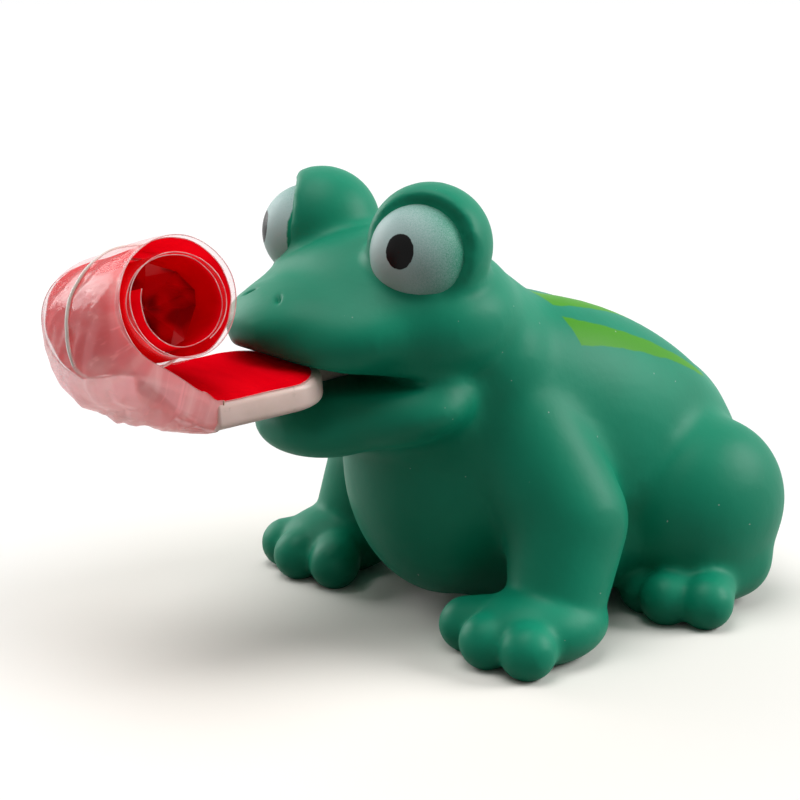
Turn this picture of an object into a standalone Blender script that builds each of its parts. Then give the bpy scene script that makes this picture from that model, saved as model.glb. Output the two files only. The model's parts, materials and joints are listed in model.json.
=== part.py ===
"""Long tongue frog toy.

A soft hollow frog sits on its haunches with a stiff oval mouthpiece plugged into its mouth. A flat sleeve
of film on the mouthpiece is rolled up by a curl wire, and a squeeze of the body blows it out straight. Sleeve
and wire are a chain of short links, hinged on the wire, so that the roll can open. The frog looks along -Y,
its left side is +X, and it rests on Z = 0. The sizes below are in millimetres, and MM turns them into metres.
"""
import math
from collections import namedtuple

import bmesh
import bpy
from mathutils import Matrix, Vector

MM = 0.001

Form = namedtuple("Form", "centre radii tilt")
Joint = namedtuple("Joint", "x y z radius")

# Body moulding: ellipsoids, each with its tilt about X in degrees
TORSO = Form((0, 26, 23.2), (20.5, 31.5, 16.9), -24)
FLANK = Form((8, 26, 23.5), (12.5, 31, 16.6), -24)
LOIN = Form((0, 42, 20), (16, 14, 12.5), 0)
RUMP = Form((0, 39, 14), (18, 14, 14), 0)
BELLY = Form((0, 26, 10), (19, 22, 11), 0)
CHEST = Form((0, 10, 20), (15.5, 12.5, 18), 0)
NECK = Form((0, 9, 35), (18.5, 12.5, 13), 0)
SKULL = Form((0, 1, 41.5), (19.8, 15, 10.5), 0)
MUZZLE = Form((0, -7, 41.2), (16.5, 13, 6.6), 12)
SNOUT = Form((0, -13.5, 42), (10, 8, 4.6), 14)
JAW = Form((0, -2.5, 31.5), (18.5, 12, 6.2), 12)
CHIN = Form((0, -8, 29.5), (12, 10.5, 5), 14)

# Legs of the left side: round joints, and tips of the three toes on each foot
HAUNCH = Form((18.3, 39.6, 13.5), (9.5, 12.6, 12), 0)
SHOULDER = Joint(13, 12, 26, 8.5)
ELBOW = Joint(20, 14.3, 16, 7.9)
ANKLE = Joint(22, 11.2, 7, 6.4)
HOCK = Joint(20.5, 43, 6, 6)
HEEL = Joint(22, 35, 4.5, 4.5)
FRONT_FOOT = Form((22.4, 8.5, 4.2), (7.3, 9, 5), 0)
FRONT_TOES = ((15, 2.4), (21.4, 0.6), (27.2, 2.2))
HIND_PALM = (21.5, 38.5)
HIND_TOES = ((17.5, 30.5), (22.5, 29.5), (26.8, 32.5))
TOE_RADIUS = 3.6
TOE_SINK = 0.4
TOE_ROOT_SPREAD = 0.3
TOE_ROOT_AHEAD = 2

# Eyes: a dome cut across at the lid, a round rim on the cut, and the eyeball set in it
DOME_CENTRE = (11.8, -0.6, 51)
DOME_RADIUS = 7.7
EYE_LOOK = (0.74, -0.64, -0.12)
LID_EDGE = 0.8
LID_RIM_RADIUS = 6
LID_RIM_THICKNESS = 1.7
LID_RIM_STEPS = 24
EYEBALL_SHIFT = (0.5, -2.4, -0.6)
EYEBALL_RADIUS = 6.3
BROW_SHIFT = (-1.5, 2.5, -6)
BROW_RADIUS = 6.8

# Mouth: roof and floor of the gape, from its back to its front, as (y, z)
MOUTH_ROOF = ((-6, 35.3), (-12, 36.2), (-17, 37.4), (-21, 39.4), (-30, 44))
MOUTH_FLOOR = ((-6, 34.5), (-11, 33.4), (-15, 31.6), (-18, 28.4), (-22, 22), (-30, 22))
MOUTH_WIDTH = 60

# Hollow of the moulding, and the block below it that cuts the soles flat
WALL = 2.5
HEAD_HOLLOW = Form((0, 12.5, 36), (15.5, 10.5, 11.5), 0)
FLOOR_BLOCK = (200, 200, 20)

# How fine the soft forms are made
MASS_VOXEL = 1.2
MASS_SMOOTHING = 10
SKIN_VOXEL = 0.75
SKIN_SMOOTHING = 3
SKIN_RATIO = 0.075
SEAM = 0.001
HOLLOW_VOXEL = 2
HOLLOW_RATIO = 0.3

# Mouthpiece: a flat oval tube that rounds off to a narrower neck, which plugs into the mouth
MOUTHPIECE_WIDTH = 21
MOUTHPIECE_HEIGHT = 4.6
MOUTHPIECE_WALL = 0.9
MOUTHPIECE_FRONT = -30
MOUTHPIECE_SHOULDER = -20
SHOULDER_LENGTH = 7
SHOULDER_STEPS = 5
PLUG_WIDTH = 12.4
PLUG_HEIGHT = 4.2
PLUG_BACK = 3.5
MOUTHPIECE_PIVOT = (-17, 34.4)
MOUTHPIECE_PITCH = 4
PORT_BACK = 10
FIT = 0.3

# Sleeve of film, and the roll it makes: the roll's bend radius falls by ROLL_PITCH in each turn
FILM = 0.4
SLEEVE_WIDTH = 23
SLEEVE_BACK = -20.5
SLEEVE_TAPER = ((0, 1), (0.3, 0.65), (0.6, 0.3))
ROLL_START = (2.5, -34.5, 37.5)
ROLL_RADIUS = 7.75
ROLL_PITCH = 1.4
ROLL_TILT = 14.7
ROLL_YAW = -3
LINKS = 12
LINK_ANGLE = 60
TIP_ANGLE = 120
LINK_GAP = 0.3

# Curl wire on the outside of the sleeve
WIRE_RADIUS = 0.15
WIRE_STANDOFF = 0.3
WIRE_GAP = 0.4

RING_POINTS = 32
RING_SQUARENESS = 4
ARC_STEP = 10

GREEN = (0.004, 0.16, 0.085)
WHITE = (0.85, 0.83, 0.8)
RED = (0.75, 0.01, 0.02)
STEEL = (0.6, 0.58, 0.56)


def collection(name):
    group = bpy.data.collections.new(name)
    bpy.context.scene.collection.children.link(group)
    return group


def material(name, colour, roughness, metallic=0.0):
    mat = bpy.data.materials.new(name)
    mat.use_nodes = True
    shader = mat.node_tree.nodes["Principled BSDF"]
    shader.inputs["Base Color"].default_value = (*colour, 1)
    shader.inputs["Roughness"].default_value = roughness
    shader.inputs["Metallic"].default_value = metallic
    return mat


def mesh_object(name, bm, group):
    mesh = bpy.data.meshes.new(name)
    bm.to_mesh(mesh)
    bm.free()
    obj = bpy.data.objects.new(name, mesh)
    group.objects.link(obj)
    return obj


def modifier(obj, kind, **settings):
    mod = obj.modifiers.new(kind.title(), kind)
    for name, value in settings.items():
        setattr(mod, name, value)
    return mod


def as_cutter(obj):
    obj.hide_render = True
    obj.display_type = "WIRE"
    return obj


def evaluated_mesh(obj):
    graph = bpy.context.evaluated_depsgraph_get()
    return bpy.data.meshes.new_from_object(obj.evaluated_get(graph))


def ellipsoid(bm, centre, radii, tilt=0, segments=40):
    place = Matrix.Translation(Vector(centre) * MM) @ Matrix.Rotation(math.radians(tilt), 4, "X")
    size = Matrix.Diagonal((*(Vector(radii) * MM), 1))
    bmesh.ops.create_uvsphere(
        bm, u_segments=segments, v_segments=segments // 2, radius=1, matrix=place @ size
    )


def add_form(bm, form, side=1):
    x, y, z = form.centre
    ellipsoid(bm, (side * x, y, z), form.radii, form.tilt)


def limb(bm, joints, side):
    """Round joints with a tapered bone between each two."""
    for joint in joints:
        ellipsoid(bm, (side * joint.x, joint.y, joint.z), (joint.radius,) * 3, segments=24)
    for near, far in zip(joints, joints[1:]):
        start = Vector((side * near.x, near.y, near.z)) * MM
        end = Vector((side * far.x, far.y, far.z)) * MM
        along = end - start
        place = Matrix.Translation((start + end) / 2) @ along.to_track_quat("Z", "Y").to_matrix().to_4x4()
        bmesh.ops.create_cone(
            bm, cap_ends=True, segments=24, depth=along.length, matrix=place,
            radius1=near.radius * MM, radius2=far.radius * MM,
        )


def main_masses(bm):
    for form in (TORSO, LOIN, RUMP, BELLY, CHEST, NECK, SKULL, MUZZLE, SNOUT, JAW, CHIN):
        add_form(bm, form)
    for side in (1, -1):
        add_form(bm, FLANK, side)
        add_form(bm, HAUNCH, side)
        limb(bm, (SHOULDER, ELBOW, ANKLE), side)
        limb(bm, (HOCK, HEEL), side)


def feet(bm, side):
    add_form(bm, FRONT_FOOT, side)
    height = TOE_RADIUS - TOE_SINK
    foot_x, foot_y, foot_z = FRONT_FOOT.centre
    for x, y in FRONT_TOES:
        root = Joint(foot_x + TOE_ROOT_SPREAD * (x - foot_x), foot_y - TOE_ROOT_AHEAD, foot_z, TOE_RADIUS)
        limb(bm, (root, Joint(x, y, height, TOE_RADIUS)), side)
    for x, y in HIND_TOES:
        root = Joint(*HIND_PALM, HEEL.z, TOE_RADIUS)
        limb(bm, (root, Joint(x, y, height, TOE_RADIUS)), side)


def eye(bm, side):
    mirror = Vector((side, 1, 1))
    centre = Vector(DOME_CENTRE) * mirror
    look = (Vector(EYE_LOOK) * mirror).normalized()
    dome = bmesh.new()
    ellipsoid(dome, centre, (DOME_RADIUS,) * 3)
    everything = dome.verts[:] + dome.edges[:] + dome.faces[:]
    lid_edge = (centre + look * LID_EDGE) * MM
    bmesh.ops.bisect_plane(dome, geom=everything, plane_co=lid_edge, plane_no=look, clear_outer=True)
    bmesh.ops.holes_fill(dome, edges=[edge for edge in dome.edges if edge.is_boundary])
    cut_dome = bpy.data.meshes.new("cut_dome")
    dome.to_mesh(cut_dome)
    dome.free()
    bm.from_mesh(cut_dome)
    bpy.data.meshes.remove(cut_dome)
    level = look.cross(Vector((0, 0, 1))).normalized()
    above = level.cross(look)
    rim = []
    for step in range(LID_RIM_STEPS + 1):
        turn = math.tau * step / LID_RIM_STEPS
        spoke = level * math.cos(turn) + above * math.sin(turn)
        rim.append(Joint(*(centre + look * LID_EDGE + spoke * LID_RIM_RADIUS), LID_RIM_THICKNESS))
    limb(bm, rim, 1)
    ellipsoid(bm, centre + Vector(EYEBALL_SHIFT) * mirror, (EYEBALL_RADIUS,) * 3)
    ellipsoid(bm, centre + Vector(BROW_SHIFT) * mirror, (BROW_RADIUS,) * 3)


def mouth_cutter(cutters):
    """The gape: its outline in the frog's middle plane, drawn out across the head."""
    bm = bmesh.new()
    outline = MOUTH_ROOF + MOUTH_FLOOR[::-1]
    left = -MOUTH_WIDTH / 2 * MM
    face = bm.faces.new([bm.verts.new((left, y * MM, z * MM)) for y, z in outline])
    drawn = bmesh.ops.extrude_face_region(bm, geom=[face])["geom"]
    moved = [part for part in drawn if isinstance(part, bmesh.types.BMVert)]
    bmesh.ops.translate(bm, vec=(MOUTH_WIDTH * MM, 0, 0), verts=moved)
    bmesh.ops.recalc_face_normals(bm, faces=bm.faces)
    return as_cutter(mesh_object("mouth_cutter", bm, cutters))


def floor_cutter(cutters):
    bm = bmesh.new()
    size = Vector(FLOOR_BLOCK) * MM
    place = Matrix.Translation((0, TORSO.centre[1] * MM, -size.z / 2)) @ Matrix.Diagonal((*size, 1))
    bmesh.ops.create_cube(bm, size=1, matrix=place)
    return as_cutter(mesh_object("floor_cutter", bm, cutters))


def hollow_cutter(cutters):
    """The inside of the moulding: its large forms, each smaller by the wall."""
    bm = bmesh.new()
    for form in (TORSO, LOIN, RUMP, BELLY, CHEST, HEAD_HOLLOW, HAUNCH):
        inside = form._replace(radii=[radius - WALL for radius in form.radii])
        for side in (1, -1) if form.centre[0] else (1,):
            add_form(bm, inside, side)
    cutter = as_cutter(mesh_object("hollow_cutter", bm, cutters))
    modifier(cutter, "REMESH", mode="VOXEL", voxel_size=HOLLOW_VOXEL * MM)
    modifier(cutter, "SMOOTH", factor=0.5, iterations=MASS_SMOOTHING)
    modifier(cutter, "DECIMATE", ratio=HOLLOW_RATIO)
    return cutter


def body_shell(parts, cutters, green):
    bm = bmesh.new()
    main_masses(bm)
    masses = mesh_object("masses", bm, cutters)
    modifier(masses, "REMESH", mode="VOXEL", voxel_size=MASS_VOXEL * MM)
    modifier(masses, "SMOOTH", factor=0.5, iterations=MASS_SMOOTHING)
    modifier(masses, "BOOLEAN", operation="DIFFERENCE", object=mouth_cutter(cutters))

    bm = bmesh.new()
    bm.from_mesh(evaluated_mesh(masses))
    bpy.data.objects.remove(masses)
    for side in (1, -1):
        feet(bm, side)
        eye(bm, side)
    body = mesh_object("body_shell", bm, parts)
    modifier(body, "REMESH", mode="VOXEL", voxel_size=SKIN_VOXEL * MM, use_smooth_shade=True)
    modifier(body, "SMOOTH", factor=0.5, iterations=SKIN_SMOOTHING)
    modifier(body, "DECIMATE", ratio=SKIN_RATIO)
    modifier(body, "MIRROR", use_bisect_axis=(True, False, False), merge_threshold=SEAM * MM)
    for cutter in (floor_cutter(cutters), hollow_cutter(cutters), port_cutter(cutters)):
        modifier(body, "BOOLEAN", operation="DIFFERENCE", object=cutter)
    body.data.materials.append(green)
    return body


def ring(centre, side, up, width, height):
    """Points of a rounded flat oval about centre, in the plane of side and up."""
    points = []
    for step in range(RING_POINTS):
        angle = math.tau * step / RING_POINTS
        across = math.copysign(abs(math.cos(angle)) ** (2 / RING_SQUARENESS), math.cos(angle))
        above = math.copysign(abs(math.sin(angle)) ** (2 / RING_SQUARENESS), math.sin(angle))
        points.append(centre + side * (across * width / 2) + up * (above * height / 2))
    return points


def loft(bm, rings, closed):
    """Join rings of points in turn, and the last to the first if closed, else cap both ends."""
    loops = [[bm.verts.new(point * MM) for point in points] for points in rings]
    pairs = list(zip(loops, loops[1:]))
    if closed:
        pairs.append((loops[-1], loops[0]))
    else:
        bm.faces.new(loops[0])
        bm.faces.new(loops[-1])
    for near, far in pairs:
        for step in range(RING_POINTS):
            follow = (step + 1) % RING_POINTS
            bm.faces.new((near[step], near[follow], far[follow], far[step]))
    bmesh.ops.recalc_face_normals(bm, faces=bm.faces)


def on_mouthpiece(y):
    """The mouthpiece's centre line at y."""
    pivot_y, pivot_z = MOUTHPIECE_PIVOT
    return Vector((0, y, pivot_z + (y - pivot_y) * math.tan(math.radians(MOUTHPIECE_PITCH))))


def mouthpiece_rings(grow, front, back):
    """Rings along the mouthpiece, larger by grow on every side, between front and back."""
    pitch = Matrix.Rotation(math.radians(MOUTHPIECE_PITCH), 3, "X")
    stations = [(front, MOUTHPIECE_WIDTH, MOUTHPIECE_HEIGHT)]
    for step in range(SHOULDER_STEPS + 1):
        turn = math.pi / 2 * step / SHOULDER_STEPS
        width = PLUG_WIDTH + (MOUTHPIECE_WIDTH - PLUG_WIDTH) * math.cos(turn)
        height = PLUG_HEIGHT + (MOUTHPIECE_HEIGHT - PLUG_HEIGHT) * math.cos(turn)
        stations.append((MOUTHPIECE_SHOULDER + SHOULDER_LENGTH * math.sin(turn) + grow, width, height))
    stations.append((back, PLUG_WIDTH, PLUG_HEIGHT))
    side = Vector((1, 0, 0))
    up = pitch @ Vector((0, 0, 1))
    return [ring(on_mouthpiece(y), side, up, w + 2 * grow, h + 2 * grow) for y, w, h in stations]


def mouthpiece(parts, white):
    bm = bmesh.new()
    outer = mouthpiece_rings(0, MOUTHPIECE_FRONT, PLUG_BACK)
    inner = mouthpiece_rings(-MOUTHPIECE_WALL, MOUTHPIECE_FRONT, PLUG_BACK)
    loft(bm, outer + inner[::-1], closed=True)
    obj = mesh_object("mouthpiece", bm, parts)
    obj.data.materials.append(white)
    return obj


def port_cutter(cutters):
    """Room for the mouthpiece in the mouth, right through to the hollow."""
    bm = bmesh.new()
    loft(bm, mouthpiece_rings(FIT, MOUTHPIECE_FRONT, PORT_BACK), closed=False)
    return as_cutter(mesh_object("port_cutter", bm, cutters))


def roll_axes():
    """The roll's own axes: across the sleeve, forward and up."""
    turn = Matrix.Rotation(math.radians(ROLL_YAW), 3, "Z")
    tilt = math.radians(ROLL_TILT)
    across = turn @ Vector((math.cos(tilt), 0, math.sin(tilt)))
    forward = turn @ Vector((0, -1, 0))
    return across, forward, forward.cross(across)


def roll_point(turned, outside=0):
    """Place on the roll where the sleeve has turned so far, in radians, or outside it by a distance."""
    _, forward, up = roll_axes()
    shrink = ROLL_PITCH / math.tau
    radius = ROLL_RADIUS - shrink * turned
    ahead = radius * math.sin(turned) - shrink * math.cos(turned) + shrink
    rise = -radius * math.cos(turned) - shrink * math.sin(turned) + ROLL_RADIUS
    outward = forward * math.sin(turned) - up * math.cos(turned)
    return Vector(ROLL_START) + forward * ahead + up * rise + outward * outside


def wire_offset():
    return FILM / 2 + WIRE_STANDOFF + WIRE_RADIUS


def hinge_point(index):
    """The hinge before link index: on the wire, where the link before it ends."""
    return roll_point(math.radians(index * LINK_ANGLE), wire_offset())


def link_angles(index, gap):
    """Turned angles along link index, with half the gap left free at each end."""
    start = math.radians(index * LINK_ANGLE)
    span = LINK_ANGLE + (TIP_ANGLE if index == LINKS - 1 else 0)
    trim = gap / 2 / ROLL_RADIUS
    steps = round(span / ARC_STEP)
    end = start + math.radians(span) - trim
    return [start + trim + (end - start - trim) * step / steps for step in range(steps + 1)]


def sleeve_link(index, parts, red):
    half = roll_axes()[0] * (SLEEVE_WIDTH / 2)
    origin = hinge_point(index)
    bm = bmesh.new()
    rows = []
    for turned in link_angles(index, LINK_GAP):
        middle = roll_point(turned) - origin
        rows.append([bm.verts.new((middle + edge) * MM) for edge in (-half, half)])
    for near, far in zip(rows, rows[1:]):
        bm.faces.new((near[0], near[1], far[1], far[0]))
    obj = mesh_object(f"tongue_sleeve_{index + 1:02d}", bm, parts)
    obj.location = origin * MM
    modifier(obj, "SOLIDIFY", thickness=FILM * MM, offset=0, use_even_offset=True)
    obj.data.materials.append(red)
    return obj


def wire_link(index, parts, steel):
    origin = hinge_point(index)
    curve = bpy.data.curves.new(f"curl_wire_{index + 1:02d}", "CURVE")
    curve.dimensions = "3D"
    curve.bevel_depth = WIRE_RADIUS * MM
    curve.bevel_resolution = 1
    curve.use_fill_caps = True
    points = [roll_point(turned, wire_offset()) - origin for turned in link_angles(index, WIRE_GAP)]
    spline = curve.splines.new("POLY")
    spline.points.add(len(points) - 1)
    for target, point in zip(spline.points, points):
        target.co = (*(point * MM), 1)
    obj = bpy.data.objects.new(curve.name, curve)
    parts.objects.link(obj)
    obj.location = origin * MM
    curve.materials.append(steel)
    return obj


def sleeve_base(parts, red):
    """The sleeve's root: a tube round the mouthpiece that goes flat and tilts to meet the roll."""
    across, _, roll_up = roll_axes()
    level = Vector((1, 0, 0))
    upright = Matrix.Rotation(math.radians(MOUTHPIECE_PITCH), 3, "X") @ Vector((0, 0, 1))
    tube_width = MOUTHPIECE_WIDTH + 2 * (FIT + FILM)
    tube_height = MOUTHPIECE_HEIGHT + 2 * (FIT + FILM)
    start = on_mouthpiece(MOUTHPIECE_FRONT - FIT) + upright * (tube_height / 2)
    end = roll_point(0) + Vector((0, LINK_GAP / 2, 0)) + roll_up * (FILM / 2)

    def station(share, height):
        """Centre, side, up, width and height, a share of the way from the mouthpiece to the roll."""
        ease = share * share * (3 - 2 * share)
        side = level.lerp(across, ease).normalized()
        up = upright.lerp(roll_up, ease).normalized()
        centre = start.lerp(end, share) - up * (height / 2)
        return centre, side, up, tube_width + (SLEEVE_WIDTH - tube_width) * share, height

    back = (on_mouthpiece(SLEEVE_BACK), level, upright, tube_width, tube_height)
    tube = [back] + [station(share, full * tube_height) for share, full in SLEEVE_TAPER]
    flat = [station(0.8, 2 * FILM), station(1, FILM)]
    outer = [ring(*place, width, height) for *place, width, height in tube + flat]
    inner = [ring(*place, width - 2 * FILM, height - 2 * FILM) for *place, width, height in tube]
    bm = bmesh.new()
    loft(bm, outer[::-1] + inner, closed=False)
    obj = mesh_object("tongue_sleeve_base", bm, parts)
    obj.data.materials.append(red)
    return obj


def least_turn_gap():
    """Least free space between one turn of the roll, with its wire, and the next turn's film."""
    turn = 360 // ARC_STEP
    steps = (LINKS * LINK_ANGLE + TIP_ANGLE) // ARC_STEP
    outer = [roll_point(math.radians(step * ARC_STEP)) for step in range(steps + 1)]
    wire = [roll_point(math.radians(step * ARC_STEP), wire_offset()) for step in range(turn // 2, steps + 1)]
    skip = turn // 2
    gaps = [
        (wire[later - skip] - outer[sooner]).length
        for later in range(skip, steps + 1)
        for sooner in range(0, later - skip)
    ]
    return min(gaps) - WIRE_RADIUS - FILM / 2


def world_box(objects):
    corners = []
    for obj in objects:
        mesh = evaluated_mesh(obj)
        corners += [obj.matrix_world @ vertex.co for vertex in mesh.vertices]
        bpy.data.meshes.remove(mesh)
    low = Vector([min(corner[axis] for corner in corners) for axis in range(3)])
    high = Vector([max(corner[axis] for corner in corners) for axis in range(3)])
    return low, high


def centre_on_box(parts, cutters):
    """Hang all pieces and cutters on one empty, and move it so the toy's box is centred above the origin."""
    root = bpy.data.objects.new("frog_toy", None)
    pieces = list(parts.objects)
    bpy.context.view_layer.update()
    low, high = world_box(pieces)
    root.location = (0, -(low.y + high.y) / 2, 0)
    parts.objects.link(root)
    for obj in pieces + list(cutters.objects):
        obj.parent = root
    bpy.context.view_layer.update()
    return root.location.y, low, high


def build():
    for obj in list(bpy.data.objects):
        bpy.data.objects.remove(obj)
    parts = collection("long_tongue_frog_toy")
    cutters = collection("cutters")
    green = material("green_vinyl", GREEN, 0.5)
    white = material("white_plastic", WHITE, 0.35)
    red = material("red_film", RED, 0.2)
    steel = material("curl_steel", STEEL, 0.3, 1.0)

    body_shell(parts, cutters, green)
    mouthpiece(parts, white)
    sleeve_base(parts, red)
    for index in range(LINKS):
        sleeve_link(index, parts, red)
        wire_link(index, parts, steel)

    shift, low, high = centre_on_box(parts, cutters)
    size = (high - low) / MM
    print(f"box {size.x:.2f} x {size.y:.2f} x {size.z:.2f} mm, shifted {shift / MM:.3f} mm in Y")
    print(f"least gap between turns {least_turn_gap():.2f} mm")
    for index in range(LINKS):
        hinge = hinge_point(index) * MM + Vector((0, shift, 0))
        print(f"hinge {index + 1:02d} at {hinge.x:.6f} {hinge.y:.6f} {hinge.z:.6f}")
    print("hinge axis", *(f"{value:.6f}" for value in roll_axes()[0]))


build()
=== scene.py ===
"""Looks of the long tongue frog toy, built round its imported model.

The forms repeat the sizes of the part's source. They are in millimetres in the frog's own frame, and row()
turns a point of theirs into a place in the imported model's frame, in metres.
"""
import json
import math
from collections import namedtuple

import bmesh
import bpy
import numpy as np
from mathutils import Matrix, Vector, noise


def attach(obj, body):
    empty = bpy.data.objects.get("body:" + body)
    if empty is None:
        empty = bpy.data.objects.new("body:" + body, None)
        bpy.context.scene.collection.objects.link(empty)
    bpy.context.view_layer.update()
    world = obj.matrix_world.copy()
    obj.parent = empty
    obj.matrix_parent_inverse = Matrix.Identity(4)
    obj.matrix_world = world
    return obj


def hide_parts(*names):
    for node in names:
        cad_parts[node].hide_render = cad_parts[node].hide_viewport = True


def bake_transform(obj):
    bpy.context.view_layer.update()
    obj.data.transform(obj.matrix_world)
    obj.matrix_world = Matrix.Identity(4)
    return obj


MM = 0.001

Form = namedtuple("Form", "centre radii tilt")
Joint = namedtuple("Joint", "x y z radius")
Station = namedtuple("Station", "along turned centre side inward")

# Body moulding: ellipsoids, each with its tilt about X in degrees
MASSES = (
    Form((0, 26, 23.2), (20.5, 31.5, 16.9), -24),
    Form((0, 42, 20), (16, 14, 12.5), 0),
    Form((0, 39, 14), (18, 14, 14), 0),
    Form((0, 26, 10), (19, 22, 11), 0),
    Form((0, 10, 20), (15.5, 12.5, 18), 0),
    Form((0, 9, 35), (18.5, 12.5, 13), 0),
    Form((0, 1, 41.5), (19.8, 15, 10.5), 0),
    Form((0, -7, 41.2), (16.5, 13, 6.6), 12),
    Form((0, -13.5, 42), (10, 8, 4.6), 14),
    Form((0, -2.5, 31.5), (18.5, 12, 6.2), 12),
    Form((0, -7, 29.5), (12, 10.5, 5), 14),
    Form((0, 5, 28), (16, 10, 8), 0),
)
FLANK = Form((8, 26, 23.5), (12.5, 31, 16.6), -24)
HAUNCH = Form((18.3, 39.6, 13.5), (9.5, 12.6, 12), 0)
FRONT_LEG = (Joint(13, 12, 26, 8.5), Joint(20, 14.3, 16, 7.9), Joint(22, 11.2, 7, 6.4))
HIND_LEG = (Joint(20.5, 43, 6, 6), Joint(22, 35, 4.5, 4.5))
FRONT_FOOT = Form((22.4, 8.5, 4.2), (7.3, 9, 5), 0)
FRONT_TOES = ((15, 2.4), (21.4, 0.6), (27.2, 2.2))
HIND_PALM = (21.5, 38.5)
HIND_TOES = ((17.5, 30.5), (22.5, 29.5), (26.8, 32.5))
TOE_RADIUS = 3.6
TOE_SINK = 0.4
TOE_ROOT_SPREAD = 0.3
TOE_ROOT_AHEAD = 2

# Eyes
DOME_CENTRE = (11.8, -1.2, 51)
DOME_RADIUS = 7.7
EYE_LOOK = (0.64, -0.765, 0.14)
LID_AHEAD = 1.7
LID_FLARE = 0.9
LID_SMOOTHING = 12
LID_MARGIN = 1
EYEBALL_SHIFT = (0.45, -1.7, -0.78)
EYEBALL_RADIUS = 6.15
SOCKET_RADIUS = 5.6
BROW_SHIFT = (-1.5, 2.5, -6)
BROW_RADIUS = 6.8
LEFT_PUPIL_LOOK = (0.472, -0.866, 0.163)
RIGHT_PUPIL_LOOK = (-0.39, -0.91, 0.127)
PUPIL_SIZE = (1.8, 2.1)
PUPIL_RAGGED = 0.25

# Mouth and nostrils
MOUTH_ROOF = ((-3, 35.2), (-12, 36.2), (-17, 37.4), (-21, 39.4), (-30, 44))
MOUTH_FLOOR = ((-3, 34.5), (-11, 33.4), (-15, 31.6), (-18, 28.4), (-22, 22), (-30, 22))
MOUTH_WIDTH = 60
NOSTRIL = (3.3, -17.4, 44.6)
NOSTRIL_ALONG = (-0.65, 0.46, 0.53)
NOSTRIL_SIZE = (0.36, 0.8)
NOSTRIL_DEPTH = 0.55
NOSTRIL_REACH = 2.5 * max(NOSTRIL_SIZE)

# How fine the skin is made
MASS_VOXEL = 1.0
MASS_SMOOTHING = 14
SKIN_VOXEL = 0.5
SKIN_SMOOTHING = 8
SMOOTH_FACTOR = 0.5

# Stripes on the left of the back: corners of each as (y, slant), slant being how far out and down a point is
STRIPES = (
    ((17, -26.5), (18, -21), (44, -19), (44, -20)),
    ((18.1, -18.8), (18.9, -14.5), (44, -11.2), (44, -12)),
)
SLANT = (0.707, 0.707)
STRIPE_WAVER = 0.3
STRIPE_EDGE = 0.15
STRIPE_RISE = 0.25

# Mouthpiece
MOUTHPIECE_WIDTH = 21
MOUTHPIECE_HEIGHT = 4.6
MOUTHPIECE_WALL = 0.9
MOUTHPIECE_FRONT = -30
MOUTHPIECE_SHOULDER = -19.3
SHOULDER_LENGTH = 7
PLUG_WIDTH = 4
PLUG_HEIGHT = 2.8
PLUG_BACK = 3.5
MOUTHPIECE_PIVOT = (-17, 34.4)
MOUTHPIECE_PITCH = 4
MOUTHPIECE_SQUARENESS = 4.5
LIP_ROUNDING = ((0, -0.25), (0.12, -0.08), (0.3, 0))
LIP_SHARP_ANGLE = 50
SHOULDER_STEPS = 16

# Roll that the sleeve makes. ROLL_WAVES has the size, rate and phase of each wave in its outline
ROLL_START = (2.5, -34.5, 37.5)
ROLL_RADIUS = 7.75
ROLL_PITCH = 1.4
ROLL_TILT = 14.7
ROLL_YAW = -3
ROLL_END = 840
ROLL_STEP = 3
ROLL_LEAVE = 30
ROLL_WOBBLE = 0.12
ROLL_WAVES = ((1, 1.7, 0.6), (0.6, 2.9, 2.1))
ROLL_SAG = 0.5
LINKS = 12
LINK_ANGLE = 60
LEAST_TWIST = 0.01

# Sleeve of two films. Pairs of angles say where along the roll, in degrees, a change starts and ends
SLEEVE_BACK = -14
SLEEVE_STEPS = 40
FREE_STEPS = 32
FREE_ANGLES = (-45, 20)
LOOSE_ANGLES = (40, 120)
LOOSE_LIFT = 0.3
LOOSE_APART = 30
CREASE_SLANT = 0.6
CREASE_DRIFT = 0.4
CREASE_STRETCH = 3.5
EDGE_RADIUS = 0.07
GLUE_RADIUS = 0.08
FILM_UNIT = 100
RED_SLOT, CLEAR_SLOT, EDGE_SLOT, GLUE_SLOT = range(4)

# Red film, on top
RED_COLUMNS = 25
RED_HALF = 10.5
RED_HALF_BACK = 10.2
RED_GAP = 0.15
RED_ROUND_MARGIN = 0.1
RED_RIPPLE = 0.06
RED_RIPPLE_FREE = 0.16

# Clear film, wider and slack: a bag, whose depth is given at angles round the roll
CLEAR_COLUMNS = 41
CLEAR_HALF = 11.5
CLEAR_BACK = -29.2
CLEAR_GAP = 0.06
CLEAR_EDGE_ANGLES = (20, 90)
CLEAR_EDGE_WAVER = 0.25
CLEAR_EDGE_APART = 25
CLEAR_RIPPLE = 0.1
CLEAR_FINE = 0.5
WELD_MARGIN = 0.2
BAG_DEPTH = ((-60, 5.2), (-36, 5.7), (0, 5.9), (40, 3.8), (80, 1.5), (120, 0.5), (ROLL_END, 0.35))
BAG_SQUARENESS = 3
BAG_RIPPLE = 0.35
BAG_RIPPLE_DEPTHS = (0.4, 2)
BAG_FLAT_DEPTHS = (0, 0.5)
BAG_DROP = 0.3

# Curl strip outside the sleeve
WIRE_OFFSET = 0.65
STRIP_WIDTH = 0.6
STRIP_THICKNESS = 0.24
STRIP_GAP = 0.1
STRIP_OUT_ANGLES = (25, 60)

# Folded end inside the roll. Each ring has its share of the way out, its depth and its fold
TIP_MIDDLE = 1.5
TIP_RINGS = ((0.35, 2.2, 0.9), (0.7, 3.6, 1.3), (1.0, 4.6, 0.5))
TIP_SPOKES = 11
TIP_GAP = 0.25
TIP_FOLD = 0.6
SPOKE_SHIFT = (0.3, 2.3)
FOLD_WAVE = (1.9, 0.7)

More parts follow.
